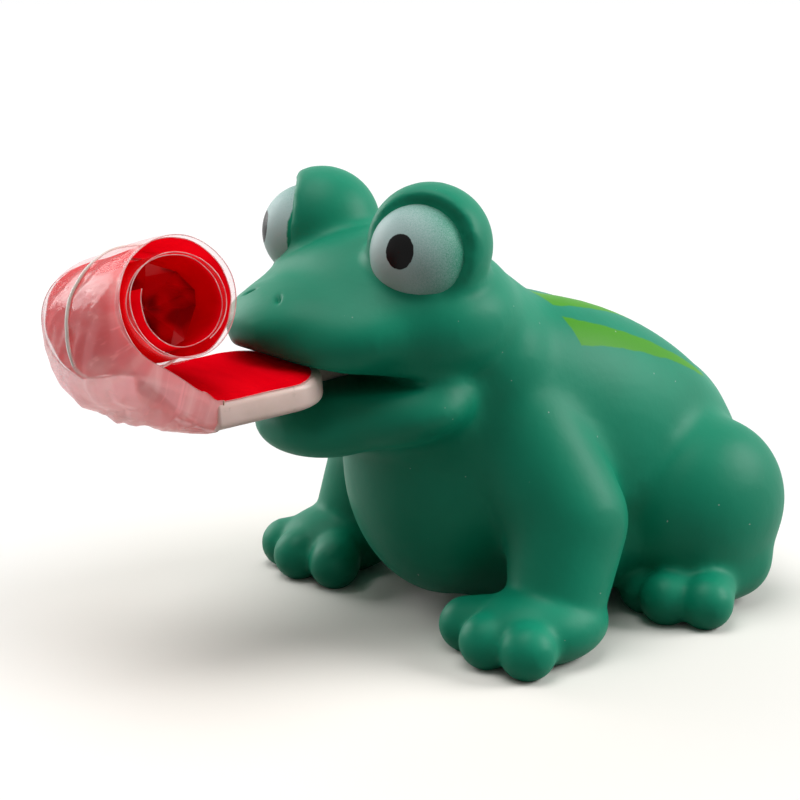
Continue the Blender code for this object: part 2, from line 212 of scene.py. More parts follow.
# Colours, linear
GREEN_DEEP = (0.001, 0.185, 0.102)
GREEN_LIGHT = (0.002, 0.225, 0.127)
LIME = (0.045, 0.25, 0.003)
DUST = (0.6, 0.65, 0.6)
DUST_SHARE = 0.4
EYE_WHITE = (0.38, 0.52, 0.51)
PUPIL = (0.002, 0.002, 0.002)
# Pinkish white of the mouthpiece: the plastic's white with a painted reflection of the red film
WHITE_AND_RED_REFLECTION = (0.88, 0.67, 0.61)
GRIME = (0.42, 0.33, 0.25)
RED = (0.9, 0.002, 0.012)
# Darker red in the red film's crease hollows: painted shade
RED_CREASE_SHADE = (0.78, 0.0, 0.008)
# Dark red on the folded end: painted shade
RED_FOLD_SHADE = (0.4, 0.0, 0.006)
MILKY = (0.97, 0.5, 0.52)
# Paler milk on the clear film's crease ridges: painted highlight
MILKY_RIDGE_HIGHLIGHT = (0.95, 0.76, 0.74)
ROOT_ALPHA = 0.88
BAG_ALPHA = 0.5
CLEAR_ALPHA = 0.26
EDGE_ALPHA = 0.6
# The films' real edges, drawn as beads and coloured pale pink as a painted highlight of the glint along them
EDGE_PINK = (0.85, 0.22, 0.24)
EDGE_GLINT_PALE = (0.92, 0.6, 0.58)
GLUE_PALE = (0.62, 0.48, 0.36)
GLUE_BROWN = (0.3, 0.19, 0.1)
STRIP_DARK = (0.7, 0.66, 0.58)
STRIP_PALE = (0.86, 0.83, 0.77)
FLOOR_COOL = (0.78, 0.765, 0.73)
FLOOR_WARM = (0.82, 0.79, 0.74)
FLOOR_BOUNCE = (0.2, 0.19, 0.18)

# Camera: the photograph's place and lens
CAMERA_PLACE = (187.8, -131.6, 82.2)
CAMERA_AZIMUTH = 54.41
CAMERA_ELEVATION = 12.93
CAMERA_LENS = 82.62
CAMERA_SENSOR = 36
CAMERA_CLIP = 0.01

# Studio: name, place, aim, size in metres and power in watts of each softbox
FLOOR_RADIUS = 6
FLOOR_GLOW = (0.04, 0.1)
SKY_TINT = (1, 0.99, 0.97)
SKY_LOW = 0.09
SKY_HIGH = 0.33
SKY_FADE = 0.8
SOFTBOXES = (
    ("overhead", (0.0, -0.1, 0.6), (0, 0, 0.02), 0.45, 2.3),
    ("right", (0.32, 0.45, 0.33), (0, 0, 0.03), 0.35, 3.3),
    ("left", (-0.5, -0.15, 0.24), (0, -0.05, 0.04), 0.4, 1.7),
)


def on_mouthpiece(y):
    """The mouthpiece's centre line at y."""
    pivot_y, pivot_z = MOUTHPIECE_PIVOT
    return Vector((0, y, pivot_z + (y - pivot_y) * math.tan(math.radians(MOUTHPIECE_PITCH))))


def roll_axes():
    """The roll's own axes: across the sleeve, forward and up."""
    turn = Matrix.Rotation(math.radians(ROLL_YAW), 3, "Z")
    tilt = math.radians(ROLL_TILT)
    across = turn @ Vector((math.cos(tilt), 0, math.sin(tilt)))
    forward = turn @ Vector((0, -1, 0))
    return across, forward, forward.cross(across)


def outward_at(turned):
    """The way out of the roll where the sleeve has turned so far, in radians."""
    _, forward, up = roll_axes()
    return forward * math.sin(turned) - up * math.cos(turned)


def roll_point(turned, outside=0.0):
    """Place on the roll where the sleeve has turned so far, in radians, or outside it by a distance."""
    _, forward, up = roll_axes()
    shrink = ROLL_PITCH / math.tau
    radius = ROLL_RADIUS - shrink * turned
    ahead = radius * math.sin(turned) - shrink * math.cos(turned) + shrink
    rise = -radius * math.cos(turned) - shrink * math.sin(turned) + ROLL_RADIUS
    return Vector(ROLL_START) + forward * ahead + up * rise + outward_at(turned) * outside


def loose_roll_point(turned, outside=0.0):
    """roll_point() with the slack of a real roll: it isn't quite round, and its inner turns sink."""
    wobble = sum(size * math.sin(rate * turned + phase) for size, rate, phase in ROLL_WAVES)
    settle = min(turned / math.radians(LINK_ANGLE), 1)
    sink = roll_axes()[2] * (ROLL_SAG * turned / math.radians(ROLL_END))
    return roll_point(turned, outside + ROLL_WOBBLE * wobble * settle) - sink


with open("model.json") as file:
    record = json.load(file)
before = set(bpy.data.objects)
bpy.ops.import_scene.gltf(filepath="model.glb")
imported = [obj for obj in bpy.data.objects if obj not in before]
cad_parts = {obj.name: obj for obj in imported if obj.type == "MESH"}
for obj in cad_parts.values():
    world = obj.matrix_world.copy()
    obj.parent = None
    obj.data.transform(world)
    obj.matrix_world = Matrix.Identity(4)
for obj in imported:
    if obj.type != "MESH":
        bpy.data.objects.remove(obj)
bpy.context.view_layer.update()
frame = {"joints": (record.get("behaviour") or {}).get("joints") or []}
FIRST_HINGE = Vector(frame["joints"][0]["pos_m"])
SHIFT = FIRST_HINGE - roll_point(0, WIRE_OFFSET) * MM


def row(point):
    """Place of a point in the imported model's frame."""
    return Vector(point) * MM + SHIFT


def seen_rays(tree):
    """1 for what the camera sees, straight or in gloss or glass, and 0 for light that falls on things."""
    rays = tree.nodes.new("ShaderNodeLightPath").outputs
    seen = rays["Is Camera Ray"]
    for name in ("Is Glossy Ray", "Is Transmission Ray"):
        either = tree.nodes.new("ShaderNodeMath")
        either.operation = "MAXIMUM"
        tree.links.new(seen, either.inputs[0])
        tree.links.new(rays[name], either.inputs[1])
        seen = either.outputs[0]
    return seen


class Paint:
    """A material's node tree, with one call for each node."""

    def __init__(self, name, **sockets):
        self.material = bpy.data.materials.new(name)
        self.material.use_nodes = True
        self.tree = self.material.node_tree
        self.shader = self.tree.nodes["Principled BSDF"]
        for socket, value in sockets.items():
            self.feed(self.shader.inputs[socket.replace("_", " ")], value)

    def feed(self, socket, value):
        if isinstance(value, bpy.types.NodeSocket):
            self.tree.links.new(value, socket)
        elif socket.type == "RGBA":
            socket.default_value = (*value, 1)
        else:
            socket.default_value = value

    def node(self, kind, inputs=(), **settings):
        made = self.tree.nodes.new(kind)
        for name, value in settings.items():
            setattr(made, name, value)
        for name, value in dict(inputs).items():
            self.feed(made.inputs[name], value)
        return made

    def place(self, output="Object"):
        return self.node("ShaderNodeTexCoord").outputs[output]

    def math(self, operation, *values):
        made = self.node("ShaderNodeMath", operation=operation)
        for socket, value in zip(made.inputs, values):
            self.feed(socket, value)
        return made.outputs[0]

    def vector(self, operation, *values):
        made = self.node("ShaderNodeVectorMath", operation=operation)
        for socket, value in zip(made.inputs, values):
            self.feed(socket, value)
        return made.outputs["Value" if operation == "DOT_PRODUCT" else "Vector"]

    def split(self, where):
        return self.node("ShaderNodeSeparateXYZ", {"Vector": where}).outputs

    def noise(self, where, scale, detail=2.0):
        inputs = {"Vector": where, "Scale": scale, "Detail": detail}
        return self.node("ShaderNodeTexNoise", inputs).outputs["Fac"]

    def waver(self, where, scale, height, detail=2.0):
        """Noise that goes from -height to height."""
        return self.math("MULTIPLY_ADD", self.noise(where, scale, detail), 2 * height, -height)

    def step(self, value, low, high, start=0.0, end=1.0):
        """A smooth rise from start to end as value goes from low to high."""
        made = self.node("ShaderNodeMapRange", interpolation_type="SMOOTHSTEP")
        for socket, given in zip(made.inputs, (value, low, high, start, end)):
            self.feed(socket, given)
        return made.outputs["Result"]

    def mix(self, share, first, second):
        made = self.node("ShaderNodeMix", data_type="RGBA")
        self.feed(made.inputs["Factor"], share)
        first_colour, second_colour = [socket for socket in made.inputs if socket.type == "RGBA"]
        self.feed(first_colour, first)
        self.feed(second_colour, second)
        return next(socket for socket in made.outputs if socket.type == "RGBA")

    def bump(self, height, distance, strength=1.0):
        made = self.node("ShaderNodeBump", {"Height": height, "Distance": distance, "Strength": strength})
        self.feed(self.shader.inputs["Normal"], made.outputs["Normal"])

    def colour(self, socket):
        self.feed(self.shader.inputs["Base Color"], socket)

    def thin(self, colour, share):
        """The shader with a share of its light passed through to the other side, as thin film does."""
        through = self.node("ShaderNodeBsdfTranslucent", {"Color": colour})
        lit = self.node("ShaderNodeMixShader", {"Fac": share})
        self.feed(lit.inputs[1], self.shader.outputs["BSDF"])
        self.feed(lit.inputs[2], through.outputs["BSDF"])
        return lit.outputs["Shader"]

    def surface(self, socket):
        self.feed(self.tree.nodes["Material Output"].inputs["Surface"], socket)


def mesh_object(name, bm, *materials):
    mesh = bpy.data.meshes.new(name)
    bm.to_mesh(mesh)
    bm.free()
    return shown(name, mesh, *materials)


def shown(name, mesh, *materials):
    obj = bpy.data.objects.new(name, mesh)
    bpy.context.scene.collection.objects.link(obj)
    for material in materials:
        mesh.materials.append(material)
    return obj


def modifier(obj, kind, **settings):
    mod = obj.modifiers.new(kind.title(), kind)
    for name, value in settings.items():
        setattr(mod, name, value)


def taken_mesh(obj):
    """The object's mesh with its modifiers applied. The object itself is removed."""
    graph = bpy.context.evaluated_depsgraph_get()
    mesh = bpy.data.meshes.new_from_object(obj.evaluated_get(graph))
    bpy.data.objects.remove(obj)
    return mesh


def add_mesh(bm, mesh):
    bm.from_mesh(mesh)
    bpy.data.meshes.remove(mesh)


def ellipsoid(bm, centre, radii, tilt=0, segments=48):
    place = Matrix.Translation(row(centre)) @ Matrix.Rotation(math.radians(tilt), 4, "X")
    size = Matrix.Diagonal((*(Vector(radii) * MM), 1))
    bmesh.ops.create_uvsphere(
        bm, u_segments=segments, v_segments=segments // 2, radius=1, matrix=place @ size
    )


def limb(bm, joints, side):
    """Round joints with a tapered bone between each two."""
    for joint in joints:
        ellipsoid(bm, (side * joint.x, joint.y, joint.z), (joint.radius,) * 3, segments=32)
    for near, far in zip(joints, joints[1:]):
        start = row((side * near.x, near.y, near.z))
        end = row((side * far.x, far.y, far.z))
        along = end - start
        turn = along.to_track_quat("Z", "Y").to_matrix().to_4x4()
        bmesh.ops.create_cone(
            bm, cap_ends=True, segments=32, depth=along.length,
            radius1=near.radius * MM, radius2=far.radius * MM,
            matrix=Matrix.Translation((start + end) / 2) @ turn,
        )


def mirrored(point, side):
    """A point of the left side, or its like on the right where side is -1."""
    return Vector(point) * Vector((side, 1, 1))


def feet(bm, side):
    """The toes of both feet on one side, and the front foot that they grow from."""
    foot_x, foot_y, foot_z = FRONT_FOOT.centre
    ellipsoid(bm, mirrored(FRONT_FOOT.centre, side), FRONT_FOOT.radii)
    height = TOE_RADIUS - TOE_SINK
    for x, y in FRONT_TOES:
        root = Joint(foot_x + TOE_ROOT_SPREAD * (x - foot_x), foot_y - TOE_ROOT_AHEAD, foot_z, TOE_RADIUS)
        limb(bm, (root, Joint(x, y, height, TOE_RADIUS)), side)
    for x, y in HIND_TOES:
        root = Joint(*HIND_PALM, HIND_LEG[-1].z, TOE_RADIUS)
        limb(bm, (root, Joint(x, y, height, TOE_RADIUS)), side)


def eye_socket(bm, side):
    """The dome over an eye, opened in a cone along the line of sight, and the eyeball's bed."""
    centre = mirrored(DOME_CENTRE, side)
    eye = centre + mirrored(EYEBALL_SHIFT, side)
    look = mirrored(EYE_LOOK, side).normalized()
    opening = bmesh.new()
    turn = look.to_track_quat("Z", "Y").to_matrix().to_4x4()
    radius = math.sqrt(EYEBALL_RADIUS ** 2 - LID_AHEAD ** 2)
    bmesh.ops.create_cone(
        opening, cap_ends=True, segments=64, depth=2 * DOME_RADIUS * MM,
        radius1=radius * MM, radius2=(radius + 2 * DOME_RADIUS * LID_FLARE) * MM,
        matrix=Matrix.Translation(row(eye + look * (LID_AHEAD + DOME_RADIUS))) @ turn,
    )
    cutter = mesh_object("lid_opening", opening)
    dome = bmesh.new()
    ellipsoid(dome, centre, (DOME_RADIUS,) * 3)
    lid = mesh_object("lid", dome)
    modifier(lid, "BOOLEAN", operation="DIFFERENCE", object=cutter)
    add_mesh(bm, taken_mesh(lid))
    bpy.data.objects.remove(cutter)
    ellipsoid(bm, eye, (SOCKET_RADIUS,) * 3)
    ellipsoid(bm, centre + mirrored(BROW_SHIFT, side), (BROW_RADIUS,) * 3)


def smooth_lids(bm):
    """Round off the lids' edges."""
    domes = [row(mirrored(DOME_CENTRE, side)) for side in (1, -1)]
    reach = (DOME_RADIUS + LID_MARGIN) * MM
    lids = [vert for vert in bm.verts if min((vert.co - dome).length for dome in domes) < reach]
    for _ in range(LID_SMOOTHING):
        bmesh.ops.smooth_vert(
            bm, verts=lids, factor=SMOOTH_FACTOR, use_axis_x=True, use_axis_y=True, use_axis_z=True
        )


def gape_cutter():
    """The mouth's outline in the frog's middle plane, drawn out across the head."""
    bm = bmesh.new()
    outline = MOUTH_ROOF + MOUTH_FLOOR[::-1]
    face = bm.faces.new([bm.verts.new(row((-MOUTH_WIDTH / 2, y, z))) for y, z in outline])
    drawn = bmesh.ops.extrude_face_region(bm, geom=[face])["geom"]
    moved = [part for part in drawn if isinstance(part, bmesh.types.BMVert)]
    bmesh.ops.translate(bm, vec=(MOUTH_WIDTH * MM, 0, 0), verts=moved)
    bmesh.ops.recalc_face_normals(bm, faces=bm.faces)
    return mesh_object("gape_cutter", bm)


def press_nostril(bm, side):
    """A fine slit pressed into the skin."""
    centre = row(mirrored(NOSTRIL, side))
    middle = min(bm.verts, key=lambda vert: (vert.co - centre).length_squared)
    place = middle.co.copy()
    normal = middle.normal.copy()
    reach = NOSTRIL_REACH * MM
    near = [face for face in bm.faces if (face.calc_center_median() - place).length < reach]
    edges = list({edge for face in near for edge in face.edges})
    bmesh.ops.subdivide_edges(bm, edges=edges, cuts=3, use_grid_fill=True)
    lengthwise = mirrored(NOSTRIL_ALONG, side)
    lengthwise = (lengthwise - normal * lengthwise.dot(normal)).normalized()
    crosswise = normal.cross(lengthwise)
    for vert in bm.verts:
        offset = vert.co - place
        if offset.length < 2 * reach:
            across = offset.dot(crosswise) / (NOSTRIL_SIZE[0] * MM)
            along = offset.dot(lengthwise) / (NOSTRIL_SIZE[1] * MM)
            vert.co -= normal * (NOSTRIL_DEPTH * MM * math.exp(-across * across - along * along))


def skin(green):
    """The moulding: its rounded masses, with the mouth cut in and the feet and eye sockets put on."""
    bm = bmesh.new()
    for form in MASSES:
        ellipsoid(bm, form.centre, form.radii, form.tilt)
    for side in (1, -1):
        ellipsoid(bm, mirrored(FLANK.centre, side), FLANK.radii, FLANK.tilt)
        ellipsoid(bm, mirrored(HAUNCH.centre, side), HAUNCH.radii)
        limb(bm, FRONT_LEG, side)
        limb(bm, HIND_LEG, side)
    masses = mesh_object("masses", bm)
    gape = gape_cutter()
    modifier(masses, "REMESH", mode="VOXEL", voxel_size=MASS_VOXEL * MM)
    modifier(masses, "SMOOTH", factor=SMOOTH_FACTOR, iterations=MASS_SMOOTHING)
    modifier(masses, "BOOLEAN", operation="DIFFERENCE", object=gape)

    bm = bmesh.new()
    add_mesh(bm, taken_mesh(masses))
    bpy.data.objects.remove(gape)
    for side in (1, -1):
        feet(bm, side)
        eye_socket(bm, side)
    rough = mesh_object("rough_skin", bm)
    modifier(rough, "REMESH", mode="VOXEL", voxel_size=SKIN_VOXEL * MM)
    modifier(rough, "SMOOTH", factor=SMOOTH_FACTOR, iterations=SKIN_SMOOTHING)

    bm = bmesh.new()
    add_mesh(bm, taken_mesh(rough))
    smooth_lids(bm)
    everything = bm.verts[:] + bm.edges[:] + bm.faces[:]
    bmesh.ops.bisect_plane(bm, geom=everything, plane_co=(0, 0, 0), plane_no=(0, 0, -1), clear_outer=True)
    bmesh.ops.holes_fill(bm, edges=[edge for edge in bm.edges if edge.is_boundary])
    bm.normal_update()
    for side in (1, -1):
        press_nostril(bm, side)
    obj = mesh_object("frog_skin", bm, green)
    obj.data.shade_smooth()
    return obj


def eyeball(side, paint):
    bm = bmesh.new()
    bmesh.ops.create_uvsphere(bm, u_segments=96, v_segments=64, radius=EYEBALL_RADIUS * MM)
    obj = mesh_object("left_eye" if side > 0 else "right_eye", bm, paint)
    obj.data.shade_smooth()
    obj.location = row(mirrored(DOME_CENTRE, side) + mirrored(EYEBALL_SHIFT, side))
    return obj


def oval(share, squareness):
    """Height of a rounded flat oval at a share of its half width: 1 at its middle and 0 at its sides."""
    return max(0.0, 1 - min(abs(share), 1.0) ** squareness) ** (1 / squareness)


def oval_ring(centre, up, width, height, points=64):
    ring = []
    for step in range(points):
        angle = math.tau * step / points
        power = 2 / MOUTHPIECE_SQUARENESS
        across = math.copysign(abs(math.cos(angle)) ** power, math.cos(angle))
        above = math.copysign(abs(math.sin(angle)) ** power, math.sin(angle))
        ring.append(row(centre + Vector((across * width / 2, 0, 0)) + up * (above * height / 2)))
    return ring


def upright():
    """The way up from the mouthpiece's flat side."""
    return Matrix.Rotation(math.radians(MOUTHPIECE_PITCH), 3, "X") @ Vector((0, 0, 1))


def mouthpiece_size(y):
    """Width and height of the mouthpiece at y: its back end is round, seen from above."""
    share = min(max((y - MOUTHPIECE_SHOULDER) / SHOULDER_LENGTH, 0), 1)
    full = math.sqrt(1 - share * share)
    width = PLUG_WIDTH + (MOUTHPIECE_WIDTH - PLUG_WIDTH) * full
    return width, PLUG_HEIGHT + (MOUTHPIECE_HEIGHT - PLUG_HEIGHT) * full


def mouthpiece(white):
    """A flat oval tube whose back end rounds off to the neck that plugs into the mouth."""
    stations = []
    for behind, grow in LIP_ROUNDING:
        y = MOUTHPIECE_FRONT + behind
        stations.append((y, MOUTHPIECE_WIDTH + 2 * grow, MOUTHPIECE_HEIGHT + 2 * grow))
    for step in range(SHOULDER_STEPS + 1):
        y = MOUTHPIECE_SHOULDER + SHOULDER_LENGTH * math.sin(math.pi / 2 * step / SHOULDER_STEPS)
        stations.append((y, *mouthpiece_size(y)))
    stations.append((PLUG_BACK, PLUG_WIDTH, PLUG_HEIGHT))
    up = upright()
    bore = 2 * MOUTHPIECE_WALL
    outer = [oval_ring(on_mouthpiece(y), up, width, height) for y, width, height in stations]
    inner = [oval_ring(on_mouthpiece(y), up, width - bore, height - bore) for y, width, height in stations]
    bm = bmesh.new()
    loops = [[bm.verts.new(point) for point in ring] for ring in outer + inner[::-1]]
    for near, far in zip(loops, loops[1:] + loops[:1]):
        for step, vert in enumerate(near):
            follow = (step + 1) % len(near)
            bm.faces.new((vert, near[follow], far[follow], far[step]))
    bmesh.ops.recalc_face_normals(bm, faces=bm.faces)
    obj = mesh_object("white_mouthpiece", bm, white)
    obj.data.shade_smooth()
    obj.data.set_sharp_from_angle(angle=math.radians(LIP_SHARP_ANGLE))
    return obj


def edge_path(front, across):
    """An edge of the red film from the mouthpiece's front: straight till it meets the roll, then round it."""
    axis = roll_axes()[0]
    start = front + Vector((across, 0, 0))
    angles = [math.radians(angle) for angle in range(ROLL_LEAVE, -LINK_ANGLE, -1)]
    rim = [loose_roll_point(turned) + axis * across for turned in angles]
    meets = next(i for i, turned in enumerate(angles) if (rim[i] - start).dot(outward_at(turned)) > 0)
    line = [start] + rim[:meets + 1][::-1]
    reach = [0.0]
    for near, far in zip(line, line[1:]):
        reach.append(reach[-1] + (far - near).length)
    lengths = np.linspace(0, reach[-1], FREE_STEPS + 1)[:-1]
    columns = [np.interp(lengths, reach, column) for column in zip(*line)]
    return [Vector(point) for point in zip(*columns)]


def sleeve_stations():
    """Places along the red film, from its back end on the mouthpiece to the inner end of the roll."""
    across = roll_axes()[0]
    level = Vector((1, 0, 0))
    up = upright()
    lift = up * (MOUTHPIECE_HEIGHT / 2 + RED_GAP)
    back = on_mouthpiece(SLEEVE_BACK) + lift
    front = on_mouthpiece(MOUTHPIECE_FRONT) + lift
    places = [(back.lerp(front, step / SLEEVE_STEPS), level, up) for step in range(SLEEVE_STEPS)]
    near_edge = edge_path(front, RED_HALF)
    far_edge = edge_path(front, -RED_HALF)
    for near, far in zip(near_edge, far_edge):
        places.append(((near + far) / 2, (near - far).normalized(), None))
    for index in range(SLEEVE_STEPS, len(places)):
        middle, side, _ = places[index]
        ahead = middle - places[index - 1][0]
        places[index] = (middle, side, ahead.cross(side).normalized())
    straight = len(places)
    leave = math.radians(ROLL_LEAVE)
    angles = [math.radians(angle) for angle in range(ROLL_LEAVE, ROLL_END + 1, ROLL_STEP)]
    places += [(loose_roll_point(turned), across, -outward_at(turned)) for turned in angles]

    lengths = [0.0]
    for near, far in zip(places, places[1:]):
        lengths.append(lengths[-1] + (far[0] - near[0]).length)
    root = lengths[straight]
    turned = [leave + (length - root) / ROLL_RADIUS for length in lengths[:straight]] + angles
    return [Station(length, angle, *place) for length, angle, place in zip(lengths, turned, places)]


def crumple(along, across, size, seed):
    """Smooth creases from -1 to 1 that run aslant over the film."""
    slant = along - CREASE_SLANT * across
    drift = across + CREASE_DRIFT * along
    return noise.noise(Vector((slant / size, drift / (CREASE_STRETCH * size), seed)))


def share_of(value, low, high):
    """A smooth rise from 0 to 1 as value goes from low to high."""
    share = min(max((value - low) / (high - low), 0), 1)
    return share * share * (3 - 2 * share)


def edge_lift(station, share):
    """How far the free edges of both films curl up, at a share of their half width."""
    loose = share_of(math.degrees(station.turned), *LOOSE_ANGLES)
    curl = crumple(station.along, LOOSE_APART * share, size=7, seed=8.5)
    return LOOSE_LIFT * loose * share * share * curl


def red_place(station, share):
    """A point of the red film, and how far across the sleeve it is. share goes from -1 to 1."""
    free = share_of(math.degrees(station.turned), *FREE_ANGLES)
    half = RED_HALF_BACK + (RED_HALF - RED_HALF_BACK) * free
    round_length = SLEEVE_BACK + RED_ROUND_MARGIN - MOUTHPIECE_SHOULDER
    round_end = min(max((station.centre.y - MOUTHPIECE_SHOULDER) / round_length, 0), 1)
    across = share * half * math.sqrt(1 - round_end * round_end)
    width, height = mouthpiece_size(station.centre.y)
    drop = (MOUTHPIECE_HEIGHT - height * oval(2 * across / width, MOUTHPIECE_SQUARENESS)) / 2
    ripple = (RED_RIPPLE + RED_RIPPLE_FREE * free) * crumple(station.along, across, size=3.2, seed=1.5)
    lift = ripple + edge_lift(station, share) - drop * (1 - free)
    return station.centre + station.side * across + station.inward * lift, across


def bag_depth(angle):
    """How far the clear film's slack stands off the red film."""
    return np.interp(angle, *zip(*BAG_DEPTH))


def clear_place(station, share):
    """A point of the clear film: welded to the red one near both edges, and slack on the outside between."""
    angle = math.degrees(station.turned)
    free = share_of(angle, *FREE_ANGLES)
    edge = share_of(angle, *CLEAR_EDGE_ANGLES)
    weld = RED_HALF_BACK + WELD_MARGIN + (RED_HALF - RED_HALF_BACK) * free
    half = weld + (CLEAR_HALF - RED_HALF) * edge
    waver = CLEAR_EDGE_WAVER * edge * crumple(station.along, CLEAR_EDGE_APART * share, size=5, seed=3.5)
    across = share * (half + waver)
    depth = bag_depth(angle)
    sag = depth * oval(across / weld, BAG_SQUARENESS)
    slack = CLEAR_RIPPLE + BAG_RIPPLE * share_of(depth, *BAG_RIPPLE_DEPTHS)
    slack *= 1 - free + free * oval(across / weld, 2)
    coarse = crumple(station.along, across, size=2.6, seed=5.5)
    fine = crumple(station.along, across, size=1.2, seed=6.5)
    ripple = slack * (coarse + CLEAR_FINE * fine) * share_of(depth, *BAG_FLAT_DEPTHS)
    drop = MOUTHPIECE_HEIGHT / 2 * (1 - oval(2 * across / MOUTHPIECE_WIDTH, MOUTHPIECE_SQUARENESS))
    lift = edge_lift(station, share) - sag - CLEAR_GAP + ripple - BAG_DROP * drop * (1 - free)
    return station.centre + station.side * across + station.inward * lift, across


class Sheets:
    """Grids of points that become one mesh, with their normals and film coordinates given."""

    def __init__(self):
        self.points = []
        self.normals = []
        self.coords = []
        self.faces = []
        self.slots = []

    def grid(self, points, normals, coords, slot, closed=False):
        rows, columns = points.shape[:2]
        base = len(self.points)
        self.points += [tuple(point) for point in points.reshape(-1, 3)]
        self.normals += [tuple(normal) for normal in normals.reshape(-1, 3)]
        self.coords += [tuple(coord) for coord in coords.reshape(-1, 2)]
        for line in range(rows - 1):
            for column in range(columns if closed else columns - 1):
                follow = (column + 1) % columns
                near = base + line * columns
                far = near + columns
                self.faces.append((near + column, near + follow, far + follow, far + column))
                self.slots.append(slot)

    def tube(self, line, first, second, radius, coords, slot, sides=6):
        """A round bead along a line of points, first and second being its two directions across."""
        turns = [math.tau * side / sides for side in range(sides)]
        spokes = np.stack([first * math.cos(turn) + second * math.sin(turn) for turn in turns], axis=1)
        wide = np.repeat(coords[:, None, :], sides, axis=1)
        self.grid(line[:, None, :] + spokes * radius, spokes, wide, slot, closed=True)

    def object(self, name, *materials):
        mesh = bpy.data.meshes.new(name)
        mesh.from_pydata(self.points, [], self.faces)
        for polygon in mesh.polygons:
            given = sum((Vector(self.normals[vertex]) for vertex in polygon.vertices), Vector())
            if polygon.normal.dot(given) < 0:
                polygon.flip()
        mesh.polygons.foreach_set("material_index", self.slots)
        mesh.polygons.foreach_set("use_smooth", [True] * len(self.faces))
        layer = mesh.uv_layers.new(name="film")
        corners = [self.coords[loop.vertex_index] for loop in mesh.loops]
        layer.data.foreach_set("uv", np.array(corners).ravel())
        mesh.update()
        mesh.normals_split_custom_set_from_vertices(self.normals)
        return shown(name, mesh, *materials)


def unit(vectors):
    return vectors / np.maximum(np.linalg.norm(vectors, axis=-1, keepdims=True), 1e-12)


def sheet_grid(stations, place, columns):
    """Points in the row frame, normals and film coordinates of a film, for all stations."""
    shares = np.linspace(-1, 1, columns)
    made = [[place(station, share) for share in shares] for station in stations]
    points = np.array([[row(point) for point, _ in line] for line in made])
    coords = np.array(
        [[(station.along, across) for _, across in line] for station, line in zip(stations, made)]
    ) / FILM_UNIT
    normals = unit(np.cross(np.gradient(points, axis=1), np.gradient(points, axis=0)))
    return points, normals, coords


def add_film(sheets, film, rows, sheet_slot, edge_slot):
    """Add some rows of a film to a mesh, with a bead on both of its edges."""
    points, normals, coords = (part[rows] for part in film)
    sheets.grid(points, normals, coords, sheet_slot)
    for edge in (0, -1):
        line = points[:, edge]
        out = unit(points[:, edge] - points[:, len(points[0]) // 2])
        sheets.tube(line, normals[:, edge], out, EDGE_RADIUS * MM, coords[:, edge], edge_slot)


def strip_film(stations):
    """Four corner lines of the curl strip, which comes out of the bag and runs on outside the clear film."""
    corners = ((-0.5, 0), (0.5, 0), (0.5, 1), (-0.5, 1))
    lines = []
    for station in stations:
        middle, _ = red_place(station, 0)
        angle = math.degrees(station.turned)
        depth = bag_depth(angle) * share_of(angle, *STRIP_OUT_ANGLES)
        base = middle - station.inward * (STRIP_GAP + depth)
        across = station.side * STRIP_WIDTH
        through = station.inward * STRIP_THICKNESS
        lines.append([row(base + across * x - through * y) for x, y in corners])
    return np.array(lines)


def tongue_tip(stations, red):
    """The sleeve's end, folded across the inside of the roll into flat facets."""
    across = roll_axes()[0]
    end = stations[-1].turned
    ring = [station for station in stations if station.turned > end - math.tau]
    centre = sum((station.centre for station in ring), Vector()) / len(ring)
    shift, shift_rate = SPOKE_SHIFT
    fold_rate, fold_phase = FOLD_WAVE
    bm = bmesh.new()
    middle = bm.verts.new(row(centre + across * TIP_MIDDLE))
    loops = []
    for share, depth, fold in TIP_RINGS:
        loop = []
        for spoke in range(TIP_SPOKES):
            turned = end - math.tau * (spoke + shift * math.sin(shift_rate * spoke)) / TIP_SPOKES
            rim = loose_roll_point(turned) - outward_at(turned) * TIP_GAP
            uneven = TIP_FOLD + (1 - TIP_FOLD) * math.sin(fold_rate * spoke + fold_phase)
            ridge = fold * uneven * (1 if spoke % 2 else -1)
            loop.append(bm.verts.new(row(centre.lerp(rim, share) + across * (depth + ridge))))
        loops.append(loop)
    for spoke in range(TIP_SPOKES):
        follow = (spoke + 1) % TIP_SPOKES
        bm.faces.new((middle, loops[0][spoke], loops[0][follow]))
        for near, far in zip(loops, loops[1:]):
            bm.faces.new((near[spoke], far[spoke], near[follow]))
            bm.faces.new((far[spoke], far[follow], near[follow]))
    bmesh.ops.recalc_face_normals(bm, faces=bm.faces)
    return mesh_object("tongue_tip", bm, red)


def bend(start, end):
    """Two places for a piece to bend between. What lies on its first and last line meets its neighbours."""
    along = end.centre - start.centre
    twist = start.side.cross(end.side)
    if twist.length > LEAST_TWIST:
        along = along.project(twist)
    return row(start.centre), row(start.centre + along)


def station_at(stations, angle):
    """Index of the first station that has turned so far, in degrees."""
    return next(i for i, station in enumerate(stations) if station.turned >= math.radians(angle) - 1e-6)


def add_glue(sheets, film, line):
    """A bead of dried glue along the film's back edge."""
    points, normals, coords = (part[line] for part in film)
    forward = np.gradient(points, axis=0)
    sheets.tube(points, normals, unit(np.cross(normals, forward)), GLUE_RADIUS * MM, coords, GLUE_SLOT)


def strip_piece(name, lines, strip):
    """A length of the curl strip, from its four corner lines."""
    ribbon = Sheets()
    outward = unit(lines - lines.mean(axis=1, keepdims=True))
    ribbon.grid(lines, outward, np.zeros((*lines.shape[:2], 2)), 0, closed=True)
    wire = ribbon.object(name, strip)
    return wire


